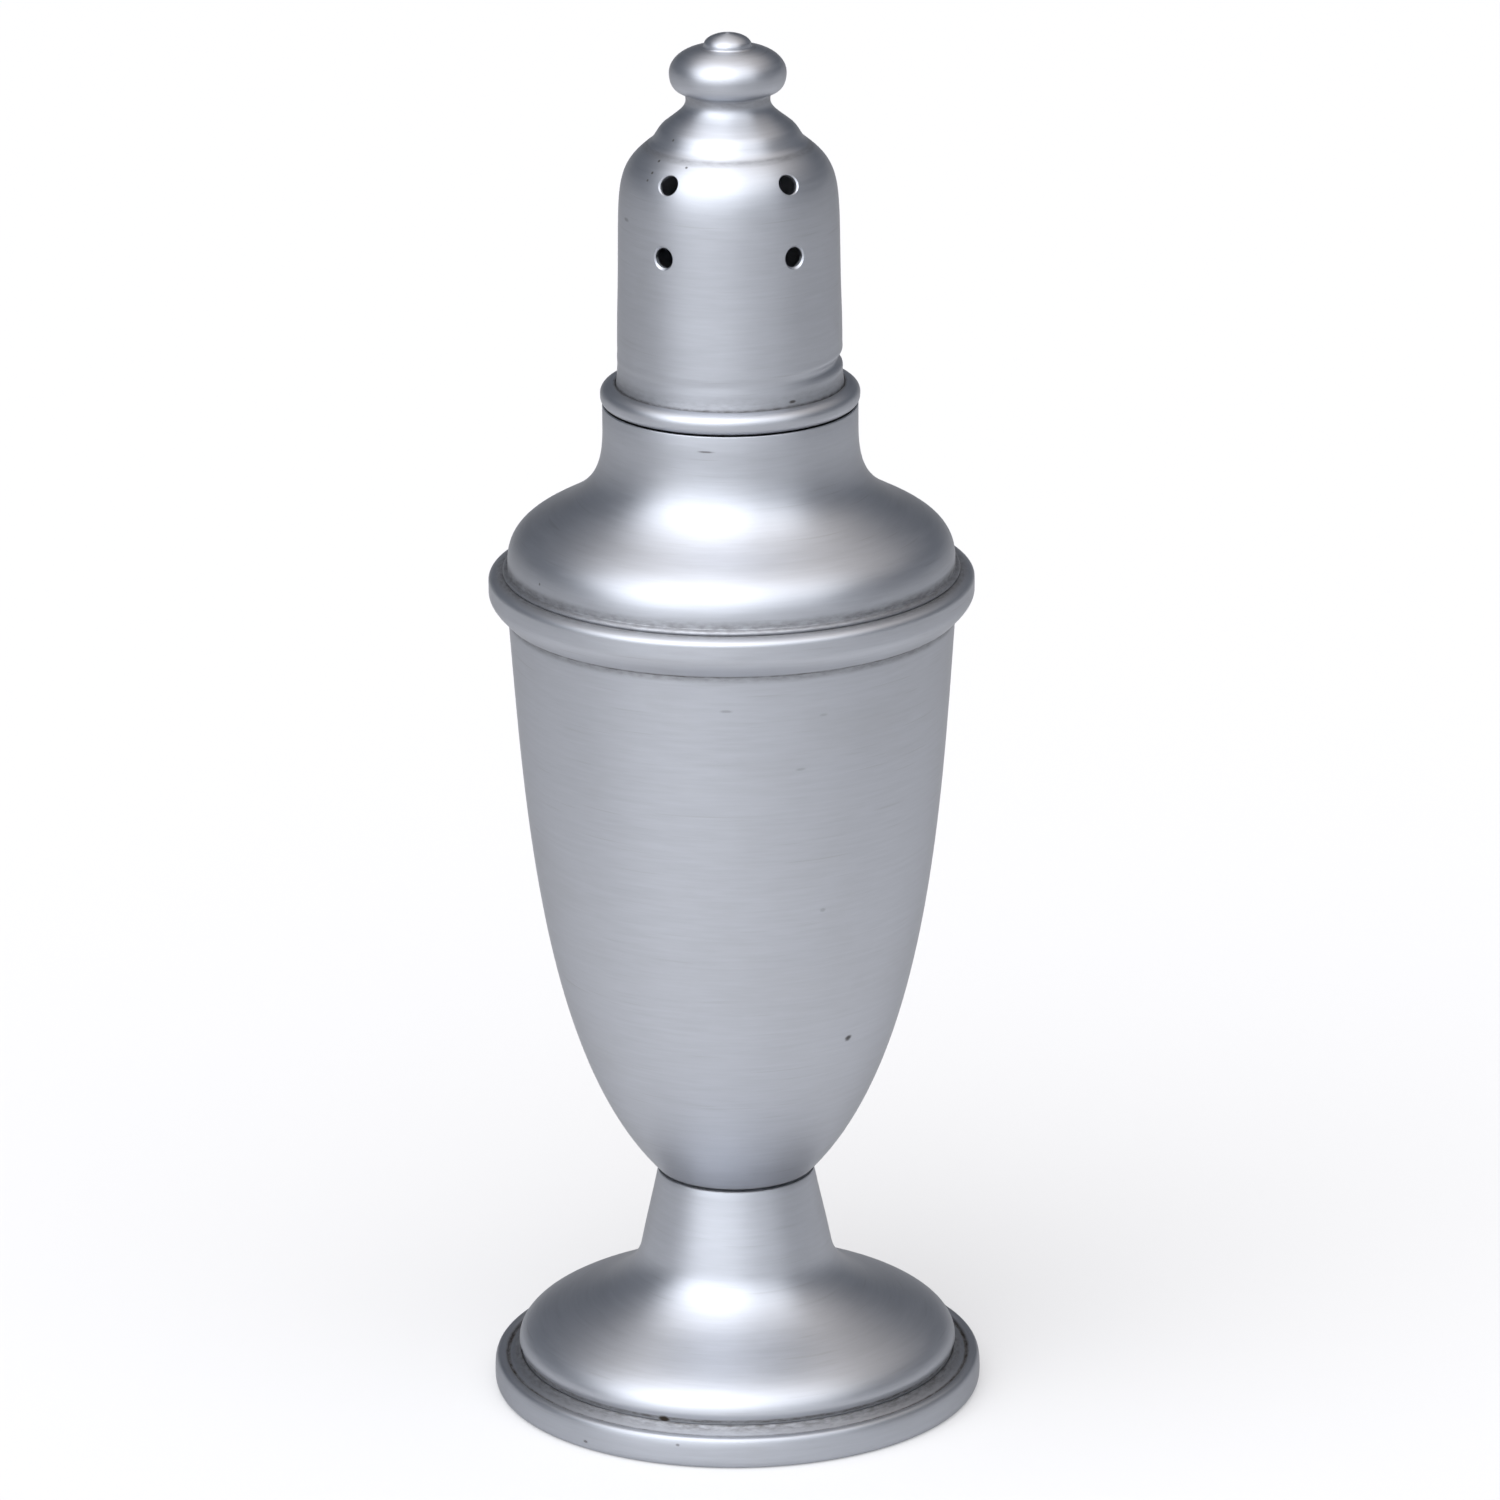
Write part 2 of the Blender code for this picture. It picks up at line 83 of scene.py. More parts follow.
def sweep(start, leave, arrive, end, steps=20):
    """A curve; leave and arrive are its (degrees outwards from straight down, pull) at its two ends."""
    (slope_a, pull_a), (slope_b, pull_b) = leave, arrive
    slope_a, slope_b = math.radians(slope_a), math.radians(slope_b)
    after = start[0] + pull_a * math.sin(slope_a), start[1] - pull_a * math.cos(slope_a)
    before = end[0] - pull_b * math.sin(slope_b), end[1] + pull_b * math.cos(slope_b)
    line = []
    for step in range(steps + 1):
        t = step / steps
        weights = (1 - t) ** 3, 3 * t * (1 - t) ** 2, 3 * t * t * (1 - t), t**3
        corners = start, after, before, end
        line.append(tuple(sum(w * c[axis] for w, c in zip(weights, corners)) for axis in (0, 1)))
    return line


def swell(inner, depth, middle, half_height, first=90, last=-90, fullness=2.0, steps=16):
    """A rounded edge that stands out from a radius; a fullness above 2 flattens its face."""
    line = []
    for step in range(steps + 1):
        angle = math.radians(first + (last - first) * step / steps)
        out = abs(math.cos(angle)) ** (2 / fullness)
        up = math.copysign(abs(math.sin(angle)) ** (2 / fullness), math.sin(angle))
        line.append((inner + depth * out, middle + half_height * up))
    return line


def straight(start, end, steps):
    """A straight run cut into short steps, so that its points can be moved later."""
    return [tuple(a + (b - a) * step / steps for a, b in zip(start, end)) for step in range(steps + 1)]


def line_at(line, height):
    """A profile line's radius at a height, and its lean there, in radians outwards from straight down."""
    for (radius, high), (next_radius, low) in zip(line, line[1:]):
        if high >= height >= low and high > low:
            share = (high - height) / (high - low)
            return radius + share * (next_radius - radius), math.atan2(next_radius - radius, high - low)
    raise ValueError(f"the line does not pass the height {height}")


def lining(line, sheet):
    """The inner face of a sheet, listed from its lower end to its upper end."""
    inner = []
    for index, (radius, height) in enumerate(line):
        before, after = line[max(index - 1, 0)], line[min(index + 1, len(line) - 1)]
        run, drop = after[0] - before[0], after[1] - before[1]
        length = math.hypot(run, drop)
        inner.append((radius + sheet * drop / length, height - sheet * run / length))
    return inner[::-1]


# Modelling steps


def turn(name, line, steps=ROUND_STEPS):
    """Spins a closed profile round the axis: a vertex is drawn out along the line, then spun."""
    bpy.ops.object.select_all(action="DESELECT")
    bpy.ops.mesh.primitive_plane_add(size=MM)
    piece = bpy.context.object
    piece.name = piece.data.name = name
    bpy.ops.object.mode_set(mode="EDIT")
    bpy.ops.mesh.merge(type="CENTER")
    points = [Vector((radius, 0, height)) * MM for radius, height in line]
    bpy.ops.transform.translate(value=points[0])
    for here, there in zip(points, points[1:] + points[:1]):
        bpy.ops.mesh.extrude_vertices_move(TRANSFORM_OT_translate={"value": there - here})
    bpy.ops.mesh.select_all(action="SELECT")
    bpy.ops.mesh.remove_doubles(threshold=WELD)
    bpy.ops.mesh.spin(steps=steps, angle=math.tau, center=(0, 0, 0), axis=(0, 0, 1))
    bpy.ops.mesh.select_all(action="SELECT")
    bpy.ops.mesh.remove_doubles(threshold=WELD)
    bpy.ops.mesh.delete_loose()
    bpy.ops.mesh.select_all(action="SELECT")
    bpy.ops.mesh.normals_make_consistent(inside=False)
    bpy.ops.object.mode_set(mode="OBJECT")
    return piece


def apply_modifier(piece, kind, **settings):
    """Adds a modifier of a kind to a piece and applies it."""
    bpy.context.view_layer.objects.active = piece
    modifier = piece.modifiers.new(kind.title(), kind)
    for setting, value in settings.items():
        setattr(modifier, setting, value)
    bpy.ops.object.modifier_apply(modifier=modifier.name)


def ease_edges(piece, width):
    """Rounds every sharp ring of a piece, as a burnisher leaves it."""
    apply_modifier(piece, "BEVEL", width=width * MM, segments=3, limit_method="ANGLE", angle_limit=SHARP)


def move_out(piece, step_at):
    """Moves each point away from the axis by what step_at says for its radius, angle and height."""
    for vertex in piece.data.vertices:
        x, y, z = vertex.co
        radius = math.hypot(x, y)
        if radius > WELD:
            step = step_at(radius / MM, math.atan2(y, x), z / MM) * MM
            vertex.co.x += x / radius * step
            vertex.co.y += y / radius * step
    piece.data.update()


def finish_piece(piece, body, node, material):
    """Smooths a piece's shading, gives it its material and body, and puts it in place of its CAD node."""
    bpy.ops.object.select_all(action="DESELECT")
    piece.select_set(True)
    bpy.context.view_layer.objects.active = piece
    bpy.ops.object.shade_smooth_by_angle(angle=SHARP)
    piece.data.materials.clear()
    piece.data.materials.append(material)
    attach(piece, body)
    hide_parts(node)


# Materials


def add(tree, kind, inputs=None, out=0, **settings):
    """Adds a node; an input is a value, or the output that feeds it. Gives back one of its outputs."""
    node = tree.nodes.new(kind)
    for setting, value in settings.items():
        setattr(node, setting, value)
    for key, value in (inputs or {}).items():
        if isinstance(value, bpy.types.NodeSocket):
            tree.links.new(value, node.inputs[key])
        else:
            node.inputs[key].default_value = value
    return node.outputs[out]


def new_material(name):
    """A material, its node tree and its shader."""
    material = bpy.data.materials.new(name)
    material.use_nodes = True
    return material, material.node_tree, material.node_tree.nodes["Principled BSDF"]


def spun_pewter(name, colour="#B8BBC2", roughness=0.44, crevices=(), outline=(), marks=()):
    """Pewter spun on a lathe and rubbed satin: cool grey, with fine rings from the tool that stretch a
    highlight up and down the piece, a faint warm bloom of oxide, hairline scuffs, and dark brown in creases
    that is partly grime and partly painted shade.

    A crevice is a ring of (radius, height, width, strength), and a mark on the outline is (angle, height,
    half length round the piece, half height, strength).
    """
    material, tree, shader = new_material(name)
    where = add(tree, "ShaderNodeTexCoord", out="Object")
    place = add(tree, "ShaderNodeVectorMath", {0: where, "Scale": 1 / MM}, operation="SCALE")
    x, y, z = add(tree, "ShaderNodeSeparateXYZ", {0: place}).node.outputs
    flat = add(tree, "ShaderNodeVectorMath", {0: place, 1: (1, 1, 0)}, operation="MULTIPLY")
    radius = add(tree, "ShaderNodeVectorMath", {0: flat}, out="Value", operation="LENGTH")
    section = add(tree, "ShaderNodeCombineXYZ", {0: radius, 1: z})

    # Tool rings 0.35 mm apart, drawn coarser than the real 0.1 mm so that they show; polishing has broken
    # them up into strokes of about 5 mm. Grains of grime, 0.35 mm across, are wiped out to about 1 mm
    ring_mm, ring_run_mm = 0.35, 5
    grain_mm, grain_run_mm = 0.35, 1
    streaks = []
    for across, along in ((ring_mm, ring_run_mm), (grain_mm, grain_run_mm)):
        round_x = add(tree, "ShaderNodeMath", {0: x, 1: across / along}, operation="MULTIPLY")
        round_y = add(tree, "ShaderNodeMath", {0: y, 1: across / along}, operation="MULTIPLY")
        streak_place = add(tree, "ShaderNodeCombineXYZ", {0: radius, 1: z, 2: round_x})
        streak = add(
            tree,
            "ShaderNodeTexNoise",
            {"Vector": streak_place, "W": round_y, "Scale": 1 / across, "Detail": 3, "Roughness": 0.6},
            noise_dimensions="4D",
        )
        streaks.append(streak)
    rings, grains = streaks

    # Clouds of oxide about 14 mm across
    cloud_mm, most_oxide = 14, 0.16
    clouds = add(
        tree,
        "ShaderNodeTexNoise",
        {"Vector": place, "Scale": 1 / cloud_mm, "Detail": 4, "Roughness": 0.6, "Distortion": 0.4},
    )
    bloom = add(
        tree,
        "ShaderNodeMapRange",
        {"Value": clouds, "From Min": 0.45, "From Max": 0.75, "To Max": most_oxide},
        interpolation_type="SMOOTHSTEP",
    )

    # Hairline scuffs that lean across the rings: 0.15 mm wide and some 6 mm long
    scuff_mm, scuff_run_mm, most_scuff = 0.15, 6, 0.18
    leaning = add(
        tree,
        "ShaderNodeMapping",
        {
            "Vector": place,
            "Rotation": (math.radians(35), math.radians(25), math.radians(20)),
            "Scale": (1 / scuff_run_mm, 1 / scuff_run_mm, 1 / scuff_mm),
        },
    )
    scratches = add(
        tree,
        "ShaderNodeTexNoise",
        {"Vector": leaning, "Scale": 0.6, "Detail": 2, "Roughness": 0.5},
    )
    scuffs = add(
        tree,
        "ShaderNodeMapRange",
        {"Value": scratches, "From Min": 0.64, "From Max": 0.76, "To Max": most_scuff},
        interpolation_type="SMOOTHSTEP",
    )

    # Grime that stays in the creases, and painted shade in and around them, broken up by the grains
    grime_and_shade, full_share = 0.0, 0.2
    for crease_radius, crease_height, width, strength in crevices:
        gap = add(
            tree,
            "ShaderNodeVectorMath",
            {0: section, 1: (crease_radius, crease_height, 0)},
            out="Value",
            operation="DISTANCE",
        )
        ring = add(
            tree,
            "ShaderNodeMapRange",
            {"Value": gap, "From Min": width, "From Max": width * full_share, "To Max": strength},
            interpolation_type="SMOOTHSTEP",
        )
        grime_and_shade = add(tree, "ShaderNodeMath", {0: grime_and_shade, 1: ring}, operation="MAXIMUM")
    least_grime_and_shade = 0.45
    patchy = add(
        tree,
        "ShaderNodeMapRange",
        {"Value": grains, "From Min": 0.35, "From Max": 0.65, "To Min": least_grime_and_shade},
    )
    grime_and_shade = add(tree, "ShaderNodeMath", {0: grime_and_shade, 1: patchy}, operation="MULTIPLY")

    # Single dents and stains, with ragged edges, in the same dark brown; on a dent the dark is painted
    # shade
    raggedness, mark_edge, mark_full = 0.6, 1.3, 0.6
    for angle, height, half_length, half_height, strength in marks:
        turn_back = add(
            tree,
            "ShaderNodeVectorRotate",
            {"Vector": place, "Angle": -math.radians(angle)},
            rotation_type="Z_AXIS",
        )
        offset = add(
            tree,
            "ShaderNodeVectorMath",
            {0: turn_back, 1: (line_at(outline, height)[0], 0, height)},
            operation="SUBTRACT",
        )
        spread = add(
            tree,
            "ShaderNodeVectorMath",
            {0: offset, 1: (1 / half_length, 1 / half_length, 1 / half_height)},
            operation="MULTIPLY",
        )
        away = add(tree, "ShaderNodeVectorMath", {0: spread}, out="Value", operation="LENGTH")
        uneven = add(tree, "ShaderNodeMath", {0: grains, 1: raggedness, 2: away}, operation="MULTIPLY_ADD")
        spot = add(
            tree,
            "ShaderNodeMapRange",
            {"Value": uneven, "From Min": mark_edge, "From Max": mark_full, "To Max": strength},
            interpolation_type="SMOOTHSTEP",
        )
        grime_and_shade = add(tree, "ShaderNodeMath", {0: grime_and_shade, 1: spot}, operation="MAXIMUM")

    # The rings lighten and darken the metal; oxide, scuffs, and grime with painted shade then lie over it
    ring_contrast = 0.11
    clean = linear(colour)[:3]
    dark_ring = [channel * (1 - ring_contrast) for channel in clean] + [1]
    light_ring = [channel * (1 + ring_contrast) for channel in clean] + [1]
    surface = add(tree, "ShaderNodeMix", {0: rings, 6: dark_ring, 7: light_ring}, out=2, data_type="RGBA")
    # The dark brown is grime together with painted shade in and around the creases
    oxide_grey, worn_grey, grime_and_shade_brown = (linear(tint) for tint in ("#A9A9AA", "#8E8C8B", "#453E37"))
    for cover, tint in ((bloom, oxide_grey), (scuffs, worn_grey), (grime_and_shade, grime_and_shade_brown)):
        surface = add(tree, "ShaderNodeMix", {0: cover, 6: surface, 7: tint}, out=2, data_type="RGBA")
    tree.links.new(surface, shader.inputs["Base Color"])

    # Rings vary the gloss a little; oxide is duller, and so is the grime with its painted shade
    ring_dulling, oxide_dulling, grime_and_shade_dulling = 0.05, 0.1, 0.35
    rough = add(
        tree,
        "ShaderNodeMapRange",
        {"Value": rings, "To Min": roughness - ring_dulling, "To Max": roughness + ring_dulling},
    )
    rough = add(tree, "ShaderNodeMath", {0: bloom, 1: oxide_dulling, 2: rough}, operation="MULTIPLY_ADD")
    rough = add(tree, "ShaderNodeMath", {0: grime_and_shade, 1: grime_and_shade_dulling, 2: rough}, operation="MULTIPLY_ADD")
    tree.links.new(rough, shader.inputs["Roughness"])

    # Rings stand up from the surface, and the creases under the grime and painted shade are sunk
    sunk = -1.5
    relief = add(tree, "ShaderNodeMath", {0: grime_and_shade, 1: sunk, 2: rings}, operation="MULTIPLY_ADD")
    bump = add(tree, "ShaderNodeBump", {"Strength": 0.18, "Distance": 0.02 * MM, "Height": relief})
    tree.links.new(bump, shader.inputs["Normal"])
    tangent = add(tree, "ShaderNodeTangent", direction_type="RADIAL", axis="Z")
    tree.links.new(tangent, shader.inputs["Tangent"])
    shader.inputs["Metallic"].default_value = 1
    shader.inputs["Specular Tint"].default_value = linear("#CCCCCC")
    shader.inputs["Anisotropic"].default_value = 0.6
    shader.inputs["Anisotropic Rotation"].default_value = 0.25
    return material


def black_rubber():
    """Moulded rubber: near black, with a dull sheen and a powdery grey film of handling dust."""
    material, tree, shader = new_material("black_rubber")
    where = add(tree, "ShaderNodeTexCoord", out="Object")
    dust_mm = 0.3
    dust = add(tree, "ShaderNodeTexNoise", {"Vector": where, "Scale": 1 / (dust_mm * MM), "Detail": 3})
    most_dust = 0.3
    film = add(
        tree,
        "ShaderNodeMapRange",
        {"Value": dust, "From Min": 0.45, "From Max": 0.8, "To Max": most_dust},
    )
    black, dusty = linear("#0E0E0F"), linear("#2B2A29")
    colour = add(tree, "ShaderNodeMix", {0: film, 6: black, 7: dusty}, out=2, data_type="RGBA")
    tree.links.new(colour, shader.inputs["Base Color"])
    rough = add(tree, "ShaderNodeMapRange", {"Value": dust, "To Min": 0.55, "To Max": 0.75})
    tree.links.new(rough, shader.inputs["Roughness"])
    bump = add(tree, "ShaderNodeBump", {"Strength": 0.2, "Distance": 0.02 * MM, "Height": dust})
    tree.links.new(bump, shader.inputs["Normal"])
    return material


# Pieces, from the foot up


def foot_rim():
    """Ring under the foot: a rounded crest outside, and a fillet of solder in the groove inside it."""
    radius, _, top = reach("foot_rim")
    bore, ledge_height = 20.0, 2.2
    belt, lower_round = 1.25, 0.8
    crest_radius, crest_half, crest_depth = radius - 0.75, 0.55, 0.28
    solder_top, solder_foot = (21.95, top + 0.5), (crest_radius - crest_half, top - crest_depth)
    outside = swell(crest_radius, radius - crest_radius, belt, top - belt, last=0, fullness=3.2, steps=28)
    outside += swell(radius - lower_round, lower_round, belt, belt, first=0, fullness=2.6)[1:]
    ledge = [(bore, 0), (bore, ledge_height), (solder_top[0], ledge_height)]
    solder = sweep(solder_top, (35, 0.4), (72, 0.4), solder_foot, steps=8)
    inner_round = swell(crest_radius, -crest_half, solder_foot[1], crest_depth, first=15, last=80, steps=8)
    piece = turn("turned_foot_rim", outside + ledge + solder + inner_round)
    ease_edges(piece, 0.05)
    pewter = spun_pewter(
        "spun_pewter_foot_rim",
        # A darker pewter than the other pieces: painted shade, for the shadowed floor close by that the
        # rim's face reflects
        colour="#ACAFB6",
        # Grime with painted shade in the groove inside the crest, spread wide over it, and at the crest's
        # inner edge
        crevices=[(*solder_top, 0.45, 0.75), (*solder_top, 1.6, 0.55), (*solder_foot, 0.42, 0.95)],
        outline=outside,
        marks=[(-128, 1.0, 0.35, 0.2, 0.6), (-104, 2.4, 0.3, 0.2, 0.5)],
    )
    finish_piece(piece, "body", "foot_rim", pewter)


def base_disc():
    """Flat disc that closes the foot from below, with the rings that turning left on it."""
    radius, low, high = reach("base_disc")
    line = [(0, high), (radius, high), (radius, low)]
    ring_step, plain_middle = 2.4, 2.0
    groove_width, groove_side, groove_top = 1.2, 0.3, low + 0.12
    for ring in range(int((radius - plain_middle) / ring_step)):
        outer = radius - groove_width - ring * ring_step
        inner = outer - groove_width
        line += [(outer, low), (outer - groove_side, groove_top)]
        line += [(inner + groove_side, groove_top), (inner, low)]
    line += [(0, low)]
    piece = turn("turned_base_disc", line)
    ease_edges(piece, 0.05)
    pewter = spun_pewter(
        "dull_pewter_base",
        colour="#A3A6AC",
        roughness=0.46,
        # Grime with painted shade round the disc's edge, where it meets the rim
        crevices=[(radius, low, 1.0, 0.8)],
    )
    finish_piece(piece, "body", "base_disc", pewter)


def pedestal():
    """Stem and domed foot, spun from one sheet, with a step at its edge that stands in the rim."""
    radius, low, top = reach("pedestal")
    stem_foot, flare, edge_height = (9.6, top - 8.2), (13.2, top - 12.6), low + 2.1
    lip, lip_height, sheet = 0.25, low + 1.5, 0.9
    stem_slope, slope = 10.8, 58
    outside = sweep((STEM_TOP_RADIUS, top), (stem_slope, 3), (stem_slope, 3), stem_foot, steps=10)
    outside += sweep(stem_foot, (stem_slope, 2), (slope, 2), flare, steps=12)[1:]
    outside += sweep(flare, (slope, 3.8), (0, 2.9), (radius, edge_height), steps=26)[1:]
    foot = [(radius - lip, lip_height), (radius - lip, low), (radius - lip - sheet, low)]
    ceiling = top - sheet
    inside = [point for point in lining(outside, sheet) if point[1] < ceiling]
    line = [(0, top)] + outside + foot + inside + [(STEM_TOP_RADIUS - sheet, ceiling), (0, ceiling)]
    piece = turn("spun_pedestal", line)
    ease_edges(piece, 0.08)
    pewter = spun_pewter(
        "spun_pewter_pedestal",
        # Dark brown under the foot's overhanging edge, down its lip wall and at the stem's top: grime with
        # painted shade
        crevices=[
            (radius - lip, lip_height, 0.3, 0.75),
            (radius - lip, low + 0.5, 0.9, 0.3),
            (STEM_TOP_RADIUS, top + 0.15, 0.35, 0.6),
        ],
        outline=outside + foot,
        marks=[(-109.5, 3.9, 0.9, 0.5, 1.0)],
    )
    finish_piece(piece, "body", "pedestal", pewter)


def bowl():
    """Vessel that holds the pepper, closed at its bottom."""
    radius, low, top = reach("bowl")
    sheet, curve_top, floor_round = 0.9, top - 2.25, 0.3
    outside = [(radius, top)]
    outside += sweep((radius, curve_top), (-4, 18.5), (-44, 16.8), (STEM_TOP_RADIUS, low), steps=48)
    inside = [point for point in lining(outside, sheet) if point[1] > low + sheet]
    bottom = [(0, low + sheet), (inside[0][0] - floor_round, low + sheet)]
    line = bottom + inside + outside + [(0, low)]
    piece = turn("spun_bowl", line)
    ease_edges(piece, 0.08)
    pewter = spun_pewter(
        "spun_pewter_bowl",
        # Dark brown under the band and where the bowl meets the stem: grime with painted shade
        crevices=[(radius, top - 2.0, 0.7, 0.35), (STEM_TOP_RADIUS, low - 0.15, 0.5, 0.6)],
        outline=outside,
        marks=[
            (-48.4, 41.1, 0.55, 0.45, 0.75),
            (-91.5, 78.0, 0.8, 0.2, 0.26),
            (-72, 71.6, 0.7, 0.2, 0.18),
            (-66, 77.0, 0.6, 0.2, 0.15),
            (-64, 56.3, 0.4, 0.3, 0.2),
        ],
    )
    finish_piece(piece, "body", "bowl", pewter)


def belly_band():
    """Rounded ring over the joint of bowl and shoulder."""
    radius, low, top = reach("belly_band")
    inner, taper, lower_edge = radius - 1.6, 2.6, low + 0.25
    round_in, round_down = 1.4, 0.8
    line = swell(radius - round_in, round_in, top - round_down, round_down, last=0, fullness=2.4, steps=20)
    line += sweep((radius, low + taper), (0, taper / 3), (-42, taper / 3), (inner, lower_edge), steps=14)
    line += [(inner, top)]
    piece = turn("turned_belly_band", line)
    ease_edges(piece, 0.05)
    pewter = spun_pewter(
        "spun_pewter_band",
        # Over the band's rounded top the dark brown is spread wide as painted shade, with some grime in the
        # crease; under its lower edge it is grime with painted shade
        crevices=[(inner, top, 1.3, 0.55), (inner, lower_edge, 0.4, 0.8)],
    )
    finish_piece(piece, "body", "belly_band", pewter)


def shoulder():
    """Neck and shoulder, spun from one sheet, with a small rolled lip above the band."""
    flange_radius, low, top = reach("shoulder")
    belly = flange_radius - 0.5
    neck, sheet = 12.58, 0.8
    turn_point, skirt = (16.9, low + 8.8), (belly, low + 3.3)
    rim_top, recess = top + 0.48, 0.25
    outside = [(neck, rim_top)]
    slope = 60
    outside += sweep((neck, top - 1.9), (0, 4.0), (slope, 4.0), turn_point, steps=22)
    outside += sweep(turn_point, (slope, 2.9), (0, 3.3), skirt, steps=22)[1:]
    band_top = reach("belly_band")[2]
    lip_middle, lip_half = band_top + 0.22, 0.3
    lip = swell(belly, flange_radius - belly, lip_middle, lip_half, steps=12)
    foot = [(belly, low)]
    inside = lining(outside + foot, sheet)[:-1]
    mouth = [(neck - sheet, top), (neck - recess, top), (neck - recess, rim_top)]
    piece = turn("spun_shoulder", outside + lip + foot + inside + mouth)
    ease_edges(piece, 0.1)
    pewter = spun_pewter(
        "spun_pewter_shoulder",
        # Above the lip the dark brown is spread wide as painted shade, with grime in the crease; under the
        # lip it is grime with painted shade
        crevices=[(belly, lip_middle + lip_half, 1.1, 0.5), (belly, lip_middle - lip_half, 0.6, 0.75)],
        outline=outside,
        marks=[(-101, 101.35, 1.1, 0.14, 0.6), (-148, 87.9, 0.2, 0.2, 0.6)],
    )
    finish_piece(piece, "body", "shoulder", pewter)


def thread_dip(angle, height, seat, width):
    """How near a point is to the thread's line, 1 on it, 0 a width away; seat is the cap's lower edge."""
    rise = height - seat - THREAD_START_ABOVE_SEAT
    turns = rise / THREAD_LEAD - (angle - THREAD_START_ANGLE) / math.tau
    off = (turns - round(turns)) * THREAD_LEAD
    return max(0.0, 1 - (off / width) ** 2) ** 2


def threaded_collar():
    """Ring in the neck, with the thread that the cap screws on."""
    flange_radius, low, top = reach("threaded_collar")
    radius, bore, flange_top = 9.9, 8.5, low + 2.5
    thread_depth, thread_width, plain_foot = 0.42, 0.75, 0.6
    seat = reach("dome_cover")[1]
    line = straight((radius, top), (radius, flange_top), 70)
    line += [(flange_radius, flange_top), (flange_radius, low), (bore, low), (bore, top)]
    piece = turn("threaded_collar_turned", line)

    def groove(point_radius, angle, height):
        if point_radius < radius - 0.05 or height < flange_top + plain_foot:
            return 0
        return -thread_depth * thread_dip(angle, height, seat, thread_width)

    move_out(piece, groove)
    ease_edges(piece, 0.06)
    pewter = spun_pewter("dull_pewter_collar", colour="#AEB1B7", roughness=0.42)
    finish_piece(piece, "body", "threaded_collar", pewter)


def sealing_washer():
    """Thin washer between the cap and the neck."""
    radius, low, top = reach("sealing_washer")
    inner, edge = 10.2, 0.12
    line = swell(radius - edge, edge, (low + top) / 2, (top - low) / 2, steps=8)
    line += [(inner, low), (inner, top)]
    piece = turn("sealing_washer_ring", line)
    finish_piece(piece, "washer", "sealing_washer", black_rubber())


def cap_bead():
    """Half-round ring round the cap's lower edge."""
    radius, low, top = reach("cap_bead")
    inner = SKIRT_RADIUS + 0.3
    middle, half_height = (low + top) / 2, (top - low) / 2
    line = swell(inner, radius - inner, middle, half_height, last=0, fullness=2.2)
    line += swell(inner, radius - inner, middle, half_height, first=0, fullness=3)[1:]
    piece = turn("rolled_cap_bead", line)
    ease_edges(piece, 0.05)
    pewter = spun_pewter(
        "spun_pewter_bead",
        roughness=0.42,
        # Dark brown in the crease above the bead: grime with painted shade
        crevices=[(inner, top, 0.3, 0.5)],
        outline=line,
        marks=[(-93, low + 0.1, 0.6, 0.25, 0.8)],
    )
    finish_piece(piece, "cap", "cap_bead", pewter)


def hole_cutters(outline, rows, columns=5):
    """Round bars with a flared end, square to the dome at each hole, joined into one cutter."""
    hole, flare, half_bar, facets = 1.0, 0.22, 1.5, 40
    bar_line = [(0, half_bar), (hole + half_bar, half_bar), (hole + flare, 0.02)]
    bar_line += [(hole, -0.2), (hole, -half_bar), (0, -half_bar)]
    bar = turn("hole_bar", bar_line, steps=facets)
    # Half a facet round, so that no corner of a bar falls on an edge of the dome
    bar.data.transform(Matrix.Rotation(math.pi / facets, 4, "Z"))
    bars = []
    for height in rows:
        radius, rise = line_at(outline, height)
        for column in range(columns):
            angle = -math.pi / 2 + math.tau / columns * (column + 0.5)
            copy = bar.copy()
            copy.data = bar.data.copy()
            bpy.context.collection.objects.link(copy)
            place = Matrix.Rotation(angle, 4, "Z") @ Matrix.Translation(Vector((radius, 0, height)) * MM)
            copy.data.transform(place @ Matrix.Rotation(math.pi / 2 - rise, 4, "Y"))
            bars.append(copy)
    bpy.data.objects.remove(bar)
    bpy.ops.object.select_all(action="DESELECT")
    for copy in bars:
        copy.select_set(True)
    bpy.context.view_layer.objects.active = bars[0]
    bpy.ops.object.join()
    return bars[0]


